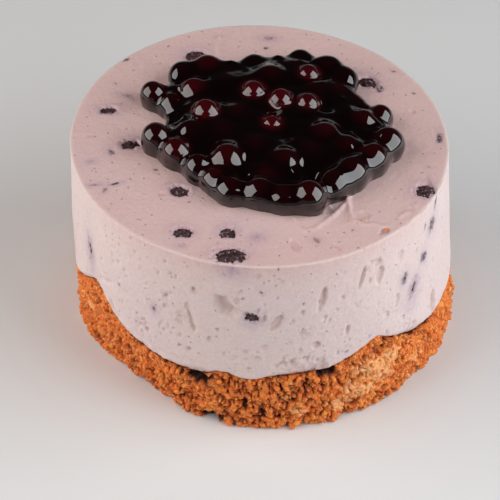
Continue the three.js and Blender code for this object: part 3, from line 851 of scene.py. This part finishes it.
# Pressed smooth patches: angle, height, width, height.
BASE_PATCHES = leant([
    (38.5, 21.5, 17.0, 9.5), (47.5, 22.0, 13.0, 8.0), (34.5, 12.0, 17.0, 8.0), (43.5, 15.0, 14.0, 9.0), (29.0, 7.0, 12.0, 6.0),
    (-62.0, 21.0, 6.0, 4.0), (60.0, 12.0, 8.0, 4.0), (15.0, 8.5, 7.0, 4.0),
    (96.0, 14.0, 10.0, 6.0), (138.0, 10.0, 12.0, 6.0), (170.0, 20.0, 9.0, 5.0), (-140.0, 14.0, 11.0, 6.0), (-108.0, 18.0, 10.0, 6.0),
])


def base_radius(angle, share):
    a = angle * DEG
    lumps = 0.35 * np.sin(5 * a + 1 + 2 * share) + 0.3 * np.sin(9 * a + 2.2 - 3 * share)
    worn = bumps(FOOT_WORN, angle)
    # the worn foot ends in a step towards the front
    worn = worn * (1 - 0.75 * smooth(turn(angle, 0), -30, -23) * smooth(turn(angle, 0), 40, 10))
    return 74.3 + lumps + bumps(SIDE_BULGES, angle) * np.sin(math.pi * share) - worn * (1 - share) ** 1.2


def make_base():
    cols = np.concatenate(
        [np.linspace(-95, 95, 680, endpoint=False), np.linspace(95, 265, 260, endpoint=False)]
    )
    rows = 72
    # the crumb stands up round the filling's rounded lower edge
    top = foot_of_filling(cols) + 0.3 * lip_round(cols)
    share = np.linspace(0.012, 1, rows + 1)[:, None]
    A = np.broadcast_to(cols, (rows + 1, len(cols)))
    Z = share * top[None, :]
    S = np.broadcast_to(share, Z.shape)
    rad = base_radius(A, S)
    p = on_side(A, R, Z)
    wu = 0.55 * fbm(p, 1.6, 3, 61)
    wv = 0.55 * fbm(p, 1.6, 3, 62)
    U, V = A * TURN + wu, Z + wv
    rng = np.random.default_rng(77)
    h = np.full(Z.shape, -1.7)
    tone = np.full(Z.shape, 0.25)
    length = 360 * TURN
    sets = ((1500, 1.15, 1.7, -0.5, 0.55), (4600, 0.75, 1.15, -0.75, 0.5), (9000, 0.45, 0.75, -1.0, 0.35))
    for count, r0, r1, t0, t1 in sets:
        us = rng.uniform(0, length, count)
        vs = rng.uniform(-1.0, 46.0, count)
        rs = rng.uniform(r0, r1, count)
        tops = rng.uniform(t0, t1, count)
        tones = np.clip(rng.normal(0.42, 0.25, count), 0, 1)
        squash = rng.uniform(0.75, 1.25, count)
        ucol = (cols % 360) * TURN
        order = np.argsort(ucol)
        sorted_u = ucol[order]
        for u0, v0, r, t, c, q in zip(us, vs, rs, tops, tones, squash):
            lo, hi = np.searchsorted(sorted_u, (u0 - r - 0.9, u0 + r + 0.9))
            if hi <= lo:
                continue
            js = order[lo:hi]
            zz = Z[:, js]
            i0 = int(np.searchsorted(zz[:, 0], v0 - r - 2.0))
            i1 = int(np.searchsorted(zz[:, 0], v0 + r + 2.0))
            if i1 <= i0:
                continue
            sub = np.ix_(range(i0, i1), js)
            du = (U[sub] % length) - u0
            du = (du + length / 2) % length - length / 2
            dd = (du * q) ** 2 + ((V[sub] - v0) / q) ** 2
            cap = t - r + np.sqrt(np.maximum(r * r - dd, 0))
            cap = np.where(dd < r * r, cap, -9)
            win = cap > h[sub]
            h[sub] = np.where(win, cap, h[sub])
            tone[sub] = np.where(win, c, tone[sub])
    rag = fbm(p, 2.2, 3, 63)
    split = smooth(np.abs(fbm(p, 9.0, 3, 66)), 0.095, 0.0) * smooth(noise(p / 14.0, 67), -0.15, 0.15)
    lumps = 1.15 * fbm(p, 8, 3, 64) - 2.3 * split
    pale = np.zeros_like(h)
    for at, zc, w, hh in BASE_PATCHES:
        q = oval(turn(A, at) * TURN, Z - zc, w, hh, 18) + 0.45 * rag
        pale = np.maximum(pale, smooth(q, 1.15, 0.75))
    crack = smooth(np.abs(fbm(p, 3.2, 2, 65)), 0.03, 0.14)
    flat = 0.55 + 0.12 * rag
    h = h * (1 - 0.8 * pale * crack) + flat * 0.8 * pale * crack
    hollow = np.zeros_like(h)
    for at, zc, w, hh, depth in BASE_HOLES:
        q = oval(turn(A, at) * TURN, Z - zc, w, hh, 0) + 0.35 * rag
        hollow += depth * smooth(q, 1.15, 0.25)
    # painted shade in the low spots between crumbs, in the holes and in the clefts
    gap_shade = np.clip((0.05 - h) / 1.25, 0, 1) * 0.8 + np.clip(hollow / 2.4, 0, 1) + 0.7 * split
    # deep in the shade under the filling
    gap_shade += 0.4 * smooth(top[None, :] - Z, 1.3, 0.0)
    rad = rad + h + lumps - hollow
    rings = [np.array([[0.0, 0, 0]]), on_side(cols, np.full(len(cols), 40.0), 0.0), on_side(cols, rad[0] - 1.6, 0.0)]
    extra = len(cols) * 2 + 1
    for j in range(rows + 1):
        rings.append(on_side(cols, rad[j], np.maximum(Z[j], 0.0)))
    zt = foot_of_filling(cols)
    rings.append(on_side(cols, np.minimum(rad[-1] - 1.2, R - 1.5), zt - 0.3))
    for r in (0.9 * R, 0.72 * R, 0.45 * R):
        w = smooth(r, 0.6 * R, 0.94 * R)
        rings.append(on_side(cols, r, 26.65 + w * (zt - 26.65) - 0.4))
    rings.append(np.array([[0, 0, 26.25]]))
    verts, faces = skin(rings)
    tail = len(verts) - extra - h.size

    def full(v, fill):
        return np.concatenate([np.full(extra, fill), v.ravel(), np.full(tail, fill)])

    attrs = {"tone": full(tone, 0.4), "gap_shade": full(np.clip(gap_shade, 0, 1), 0.3), "pale": full(pale * crack, 0.0)}
    obj = piece("crumb_base_core", verts, faces, CRUMB, ["crumb_base"], attrs)
    return obj, cols, Z, rad, pale, hollow


def make_crumbs(cols, Z, rad, pale, hollow):
    """Loose crumbs on the base's side, and a few orange ones on the cake's top."""
    rng = np.random.default_rng(91)
    unit, tris = ball(1)
    count = 1600
    place, size, tones, pales = [], [], [], []
    while len(place) < count:
        j = int(rng.integers(0, len(cols)))
        i = int(rng.integers(1, Z.shape[0] - 1))
        if pale[i, j] > 0.5 and rng.random() < 0.85 or hollow[i, j] > 0.8:
            continue
        r = 0.36 + 0.75 * rng.random() ** 2.0
        if rng.random() < 0.04:
            r = rng.uniform(1.1, 1.5)
        z = float(Z[i, j])
        if z < r * 0.8:
            z = r * 0.8
        deep = rng.uniform(-0.6, 0.1) * r
        place.append(on_side(np.array(cols[j]), float(rad[i, j]) + deep, z))
        size.append(r)
        tones.append(np.clip(rng.normal(0.5, 0.34), 0, 1))
        pales.append(1.0 if rng.random() < 0.03 else 0.0)
    for x, y, r in ((35.2, -45.9, 0.36), (38.4, -46.6, 0.42), (40.2, -45.0, 0.5), (41.2, -45.6, 0.3), (42.9, -46.7, 0.36),
                    (48.9, -50.0, 0.5), (49.8, -49.6, 0.34), (23.9, -57.6, 0.36), (36.0, -42.0, 0.28), (32.0, -63.0, 0.3)):
        place.append(np.array([x, y, H + 0.25 * r]))
        size.append(r)
        tones.append(1.0)
        pales.append(0.0)
    n = len(place)
    size = np.array(size)
    shape = rng.uniform(0.72, 1.25, (n, 1, 3)) * size[:, None, None]
    rough = 1 + 0.17 * rng.normal(size=(n, len(unit), 1)).clip(-1.6, 1.6)
    v = unit[None] * rough * shape
    v = np.einsum("nij,nkj->nki", rotations(n, rng), v) + np.array(place)[:, None, :]
    v[:, :, 2] = np.maximum(v[:, :, 2], 0.02)
    f = (tris[None] + (np.arange(n) * len(unit))[:, None, None]).reshape(-1, 3)
    attrs = {
        "tone": np.repeat(tones, len(unit)), "gap_shade": np.zeros(n * len(unit)), "pale": np.repeat(pales, len(unit)),
    }
    return piece("loose_crumbs", v.reshape(-1, 3), f.tolist(), CRUMB, (), attrs)


# ---------------------------------------------------------------- compote
# x, y, height of the middle over the cake's top, radius, redness.
BERRIES = [
    (-21.2, 37.0, 5.9, 5.0, 0.95), (-30.9, 33.9, 5.2, 4.3, 0.35), (-42.2, 20.8, 5.6, 4.6, 0.45), (-34.6, 15.8, 4.9, 4.0, 0.3),
    (-26.3, 21.7, 6.6, 5.0, 0.95), (-20.8, 6.6, 8.2, 5.5, 1.0), (-39.9, -6.7, 6.2, 5.3, 0.4), (-31.9, -14.6, 5.9, 5.0, 0.9),
    (-26.4, -4.8, 6.6, 4.6, 0.3), (-12.1, -19.4, 6.8, 5.3, 0.9), (-16.8, -29.3, 4.9, 4.0, 0.6), (-23.1, -22.6, 5.5, 4.6, 0.25),
    (-2.4, 19.6, 8.6, 4.8, 1.0), (8.2, 14.9, 8.8, 4.9, 1.0), (18.8, 13.8, 8.3, 4.5, 0.8), (18.9, 33.0, 7.2, 4.6, 0.85),
    (3.7, 30.2, 7.4, 5.0, 0.45), (26.7, 40.6, 4.9, 4.6, 0.4), (33.1, 34.5, 4.5, 4.2, 0.4), (15.6, 46.0, 3.9, 3.6, 0.5),
    (-2.9, 41.4, 4.0, 3.8, 0.6), (5.0, 0.6, 7.6, 4.2, 1.0), (26.0, -4.0, 7.0, 5.0, 0.8), (40.7, 6.5, 6.3, 4.8, 0.5),
    (47.5, 12.8, 4.9, 4.0, 0.45), (50.3, -4.6, 6.3, 5.4, 0.35), (44.4, -14.3, 6.0, 5.1, 0.6), (36.5, -23.2, 5.9, 5.0, 0.5),
    (29.0, -30.2, 5.6, 4.7, 0.3), (20.2, -38.3, 6.4, 5.4, 0.55), (10.1, -39.2, 5.2, 4.3, 0.5), (0.8, -36.5, 5.7, 4.8, 0.45),
    (10.6, -20.9, 6.8, 5.0, 0.5), (-9.9, -35.4, 5.1, 4.2, 0.5), (33.6, -10.9, 6.6, 4.7, 0.4),
]
# Berries sunk in the jelly, which only tint it: x, y, depth of the top, radius, redness.
SUNK = [
    (-9.0, 8.0, 0.9, 4.8, 0.5), (-14.0, -4.0, 1.0, 4.8, 0.4), (12.0, 38.5, 0.8, 4.5, 0.4), (30.0, 24.0, 0.8, 4.8, 0.5),
    (38.0, 20.0, 0.9, 4.5, 0.4), (-1.0, -12.0, 1.0, 4.8, 0.45), (4.0, -28.0, 0.8, 4.5, 0.5), (20.0, -14.0, 1.1, 4.6, 0.35),
    (-12.0, 28.0, 0.9, 4.8, 0.4), (22.0, 22.0, 1.0, 4.6, 0.35),
]


# Hollows in the jelly's surface: x, y, half width, depth.
HOLLOWS = [
    (16.8, -24.0, 4.6, 2.6), (-4.6, -22.6, 4.4, 2.2), (39.4, -14.0, 3.6, 2.0), (33.0, -2.0, 4.4, 2.0), (22.0, -30.0, 5.0, 2.2),
    (-19.0, -13.0, 4.6, 1.8), (-6.0, -31.0, 4.0, 1.4), (14.0, 24.0, 4.0, 1.2), (-13.0, 14.0, 4.4, 1.4), (5.0, 8.0, 3.6, 1.6),
    (26.0, 12.0, 4.0, 1.6), (-34.0, 4.0, 4.6, 2.0), (-30.0, 27.0, 3.4, 1.4), (10.0, -7.0, 4.0, 1.2), (27.0, 33.0, 4.0, 1.2), (19.4, 31.0, 4.8, 2.4), (-38.6, 17.6, 2.6, 1.4), (-30.4, 18.6, 2.4, 1.4),
]
# Pools of jelly that fill out the heap between the berries: x, y, half width, height.
POOLS = [
    (-12.0, 38.0, 5.0, 1.3), (6.5, 42.0, 5.4, 1.7), (21.6, 41.0, 4.4, 0.3), (39.0, -18.0, 6.0, 2.6), (33.0, -26.5, 5.4, 2.2),
    (-13.0, -33.0, 4.0, 1.4), (5.5, -37.2, 4.0, 1.4), (15.0, -38.0, 4.0, 1.2), (46.0, 4.0, 5.0, 1.4),
]
# The berries round the border, in turn, and those that stand bare out of the jelly.
BORDER = (1, 2, 3, 4, 7, 8, 12, 11, 34, 32, 31, 30, 29, 28, 27, 26, 25, 19, 18, 20, 21)
BARE = (6, 13, 14, 15, 16, 22)
TIGHT = (3, 4, 5, 7, 8, 11, 12, 24, 25)  # the jelly creases beside these


def outline(points, x, y):
    """Distance from the outline through the points, negative inside."""
    far = np.full_like(x, 1e9)
    odd = np.zeros(x.shape, bool)
    for (ax, ay), (bx, by) in zip(points, points[1:] + points[:1]):
        dx, dy = bx - ax, by - ay
        t = np.clip(((x - ax) * dx + (y - ay) * dy) / (dx * dx + dy * dy), 0, 1)
        far = np.minimum(far, np.hypot(x - ax - t * dx, y - ay - t * dy))
        if dy:
            odd ^= ((ay > y) != (by > y)) & (x < ax + (y - ay) * dx / dy)
    return np.where(odd, -far, far)


def make_compote():
    step = 0.5
    xs = np.arange(-50, 60.01, step)
    ys = np.arange(-48, 58.01, step)
    zs = np.arange(-1.0, 14.51, step)
    X2, Y2 = np.meshgrid(xs, ys, indexing="ij")
    flat = np.stack([X2, Y2, np.zeros_like(X2)], -1)
    d2 = outline([BERRIES[i - 1][:2] for i in BORDER], X2, Y2)
    for x, y, z, r, _ in BERRIES:
        d2 = smin(d2, np.hypot(X2 - x, Y2 - y) - (r + 0.2), 6.5)
    d2 = d2 + 0.3 * fbm(flat, 5.0, 2, 71)
    for x, y, wide, _ in POOLS:
        d2 = smin(d2, np.hypot(X2 - x, Y2 - y) - 0.7 * wide, 5.0)
    inside = -d2
    back = smooth(Y2, 14, 34)
    level = 6.9 + 3.0 * smooth(inside, 2.5 - 2.5 * back, 12.5 + 5.0 * back) + 0.45 * fbm(flat, 9.0, 2, 72)
    level = level + 1.3 * back
    for x, y, wide, deep in HOLLOWS:
        level = level - deep * np.exp(-((np.hypot(X2 - x, Y2 - y) / wide) ** 2))
    for x, y, wide, high in POOLS:
        level = level + high * np.exp(-((np.hypot(X2 - x, Y2 - y) / wide) ** 2))
    sunk_top = []
    for x, y, deep, r, _ in SUNK:
        i, j = int(round((x - xs[0]) / step)), int(round((y - ys[0]) / step))
        sunk_top.append(level[i, j] - deep)
        level = level + 0.5 * np.exp(-(np.hypot(X2 - x, Y2 - y) / 4.2) ** 2)
    Z3 = zs[None, None, :]
    wall = d2[:, :, None] + 0.03 * (Z3 - 2.6) ** 2 - 0.1
    F = smax(wall, Z3 - level[:, :, None], 5.0)
    X3, Y3 = X2[:, :, None], Y2[:, :, None]
    for i, (x, y, z, r, _) in enumerate(BERRIES):
        reach = r + 5.0
        i0, i1 = np.searchsorted(xs, (x - reach, x + reach))
        j0, j1 = np.searchsorted(ys, (y - reach, y + reach))
        bare = i + 1 in BARE
        s = np.sqrt((X3[i0:i1, j0:j1] - x) ** 2 + (Y3[i0:i1, j0:j1] - y) ** 2 + (Z3 - z) ** 2)
        s = s - (r - 0.06 if bare else r + 0.3)
        F[i0:i1, j0:j1] = smin(F[i0:i1, j0:j1], s, 1.5 if bare else 2.4 if i + 1 in TIGHT else 4.6)
    F = np.maximum(F, -(Z3 + 0.25))
    verts, faces = surface(F, (xs[0], ys[0], zs[0]), step)
    normals = settle(verts, F, (xs[0], ys[0], zs[0]), step)
    red = np.zeros(len(verts))
    for x, y, z, r, tone in BERRIES:
        d = np.linalg.norm(verts - (x, y, z), axis=1) - r
        red = np.maximum(red, tone * np.exp(-np.maximum(d, 0) / 0.75))
    for (x, y, deep, r, tone), t in zip(SUNK, sunk_top):
        d = np.linalg.norm(verts - (x, y, t - r), axis=1) - r
        red = np.maximum(red, tone * np.exp(-np.maximum(d, 0) / 1.1) * 1.2)
    # thin at its edge
    red = np.maximum(red, 0.35 * smooth(verts[:, 2], 1.6, 0.2))
    verts[:, 2] += H
    piece("compote_jelly_coat", verts, faces, JELLY, ["compote_jelly"], {"red": red}, normals)

    unit, tris = ball(4)
    rng = np.random.default_rng(23)
    rot = rotations(len(BERRIES), rng)
    all_v, all_f, all_red = [], [], []
    for i, (x, y, z, r, tone) in enumerate(BERRIES):
        n = unit @ rot[i].T
        swell = 1 + 0.012 * noise(unit * 1.4 + 7 * i, 81) + 0.006 * noise(unit * 3.1 + 7 * i, 82)
        # the shallow crown left by the flower
        crown = np.arccos(np.clip(unit[:, 2], -1, 1))
        swell = swell - 0.055 * np.exp(-((crown / 0.22) ** 2)) + 0.02 * np.exp(-(((crown - 0.42) / 0.13) ** 2))
        all_v.append(n * (r * swell)[:, None] + (x, y, z + H))
        all_f.append(tris + i * len(unit))
        shade = tone * (0.9 + 0.25 * noise(unit * 1.8 + 3 * i, 83))
        all_red.append(np.clip(shade, 0, 1))
    piece(
        "compote_berries", np.concatenate(all_v), np.concatenate(all_f).tolist(), BERRY,
        [f"berry_{i + 1:02d}" for i in range(len(BERRIES))], {"red": np.concatenate(all_red)},
    )


def surface(F, origin, step):
    """Quads over the zero level of a field on a grid, one point to each cell."""
    inside = F < 0
    n = [s - 1 for s in F.shape]
    count = np.zeros(n, np.int8)
    total = np.zeros((*n, 3))
    corners = [(i, j, k) for i in (0, 1) for j in (0, 1) for k in (0, 1)]

    def part(a, c):
        return a[c[0]: c[0] + n[0], c[1]: c[1] + n[1], c[2]: c[2] + n[2]]

    for c in corners:
        for axis in range(3):
            if c[axis]:
                continue
            e = list(c)
            e[axis] = 1
            cross = part(inside, c) != part(inside, e)
            a, b = part(F, c), part(F, e)
            t = np.where(cross, a / np.where(cross, a - b, 1), 0)
            for k in range(3):
                v = t if k == axis else float(c[k])
                total[..., k] += np.where(cross, v, 0)
            count += cross
    cell = count > 0
    index = np.full(n, -1, np.int64)
    index[cell] = np.arange(cell.sum())
    where = np.argwhere(cell)
    verts = (where + total[cell] / count[cell][:, None]) * step + np.array(origin)
    faces = []
    for axis in range(3):
        a, b = (axis + 1) % 3, (axis + 2) % 3
        lo = [slice(None)] * 3
        hi = [slice(None)] * 3
        lo[axis], hi[axis] = slice(0, -1), slice(1, None)
        cross = inside[tuple(lo)] != inside[tuple(hi)]
        at = np.argwhere(cross)
        ok = (at[:, a] > 0) & (at[:, b] > 0) & (at[:, a] < n[a]) & (at[:, b] < n[b])
        at = at[ok]
        out = inside[tuple(lo)][tuple(at.T)]

        def cellat(da, db):
            q = at.copy()
            q[:, a] += da
            q[:, b] += db
            return index[tuple(q.T)]

        quad = np.stack([cellat(-1, -1), cellat(0, -1), cellat(0, 0), cellat(-1, 0)], 1)
        quad[~out] = quad[~out][:, ::-1]
        faces.append(quad)
    return verts, np.concatenate(faces).tolist()


def settle(verts, F, origin, step):
    """Moves points onto the field's zero level and returns their normals."""
    G = np.stack(np.gradient(F, step), -1)

    def sample(field, p):
        q = (p - np.array(origin)) / step
        q = np.clip(q, 0, np.array(F.shape) - 1.001)
        i = np.floor(q).astype(int)
        f = q - i
        out = 0
        for c in range(8):
            o = np.array([c & 1, (c >> 1) & 1, (c >> 2) & 1])
            w = np.prod(np.where(o, f, 1 - f), axis=1)
            v = field[tuple((i + o).T)]
            out = out + (w[:, None] * v if v.ndim == 2 else w * v)
        return out

    up = verts[:, 2] > 0.3
    for _ in range(3):
        g = sample(G, verts)
        size = np.maximum(np.linalg.norm(g, axis=1), 0.3)
        move = -(sample(F, verts) / size**2)[:, None] * g
        far = np.linalg.norm(move, axis=1)
        move *= np.minimum(1, 0.2 / np.maximum(far, 1e-9))[:, None]
        verts += move * up[:, None]
    g = sample(G, verts)
    return g / np.maximum(np.linalg.norm(g, axis=1), 1e-9)[:, None]


make_filling()
make_set_berries()
base, b_cols, b_z, b_rad, b_pale, b_hollow = make_base()
make_crumbs(b_cols, b_z, b_rad, b_pale, b_hollow)
make_compote()

# ------------------------------------------------------------------- studio
floor_mesh = bpy.data.meshes.new("floor")
floor_mesh.from_pydata([(-4, -4, -0.0004), (4, -4, -0.0004), (4, 4, -0.0004), (-4, 4, -0.0004)], [], [(0, 1, 2, 3)])
floor = bpy.data.objects.new("floor", floor_mesh)
bpy.context.scene.collection.objects.link(floor)
fm = Nodes("pale_floor")
fm.set(Base_Color=fm.mix(fm.grain(6, 2), (0.74, 0.735, 0.73), (0.78, 0.775, 0.77)))
fm.shader.inputs["Roughness"].default_value = 0.75
fm.shader.inputs["Specular IOR Level"].default_value = 0.2
floor_mesh.materials.append(fm.mat)


def softbox(name, azimuth, elevation, distance, width, height, power, colour=(1, 1, 1)):
    """A square lamp facing the cake. Azimuth 0 is the front, positive to +X."""
    data = bpy.data.lights.new(name, "AREA")
    data.shape = "RECTANGLE"
    data.size, data.size_y = width, height
    data.energy = power
    data.color = colour
    obj = bpy.data.objects.new(name, data)
    bpy.context.scene.collection.objects.link(obj)
    a, e = azimuth * DEG, elevation * DEG
    aim = Vector((0, 0, 0.055))
    way = Vector((math.sin(a) * math.cos(e), -math.cos(a) * math.cos(e), math.sin(e)))
    obj.location = aim + way * distance
    obj.rotation_euler = way.to_track_quat("Z", "Y").to_euler()
    return obj


softbox("softbox_right", 74, 31, 0.74, 0.90, 0.74, 6.7, (0.97, 1.0, 1.02))
softbox("softbox_left", -74, 31, 0.74, 0.90, 0.74, 5.8, (1.0, 0.965, 0.94))

world = bpy.data.worlds.new("studio")
bpy.context.scene.world = world
world.use_nodes = True
wt = world.node_tree
back = next(n for n in wt.nodes if n.type == "BACKGROUND")
coord = wt.nodes.new("ShaderNodeTexCoord")
split = wt.nodes.new("ShaderNodeSeparateXYZ")
ramp = wt.nodes.new("ShaderNodeValToRGB")
wt.links.new(coord.outputs["Generated"], split.inputs[0])
wt.links.new(split.outputs["Z"], ramp.inputs[0])
ramp.color_ramp.elements[0].position = 0.03
ramp.color_ramp.elements[0].color = (0.25, 0.25, 0.256, 1)
ramp.color_ramp.elements[1].position = 0.24
ramp.color_ramp.elements[1].color = (0.013, 0.013, 0.014, 1)
wt.links.new(ramp.outputs[0], back.inputs["Color"])
back.inputs["Strength"].default_value = 1.0

# ------------------------------------------------------------------- camera
ELEV, FAR, FOCAL, ROLL = 42.14 * DEG, 1480.0, 3646.0, -2.0 * DEG
AXIS_AT = (253.9, 299.8)  # where the origin falls in a frame of 500 by 500
fw = np.array([0, math.cos(ELEV), -math.sin(ELEV)])
right = np.array([1.0, 0, 0])
up = np.array([0, math.sin(ELEV), math.cos(ELEV)])
c, s = math.cos(ROLL), math.sin(ROLL)
u, v = 250 - AXIS_AT[0], AXIS_AT[1] - 250
aim = fw + right * (c * u + s * v) / FOCAL + up * (-s * u + c * v) / FOCAL
aim /= np.linalg.norm(aim)
local_x = c * right - s * up
local_x -= aim * (local_x @ aim)
local_x /= np.linalg.norm(local_x)
local_y = np.cross(local_x, aim)
cam_data = bpy.data.cameras.new("camera")
cam_data.sensor_width = 36.0
cam_data.lens = FOCAL * 36.0 / 500
cam_data.clip_start, cam_data.clip_end = 0.01, 50
cam = bpy.data.objects.new("camera", cam_data)
bpy.context.scene.collection.objects.link(cam)
spot = -fw * FAR * MM - np.array([LEAN * H * MM, 0, 0])
m = Matrix.Identity(4)
for i in range(3):
    m[i][0], m[i][1], m[i][2], m[i][3] = local_x[i], local_y[i], -aim[i], spot[i]
cam.matrix_world = m
bpy.context.scene.camera = cam
bpy.context.scene.view_settings.view_transform = "Standard"
bpy.context.scene.view_settings.look = "None"
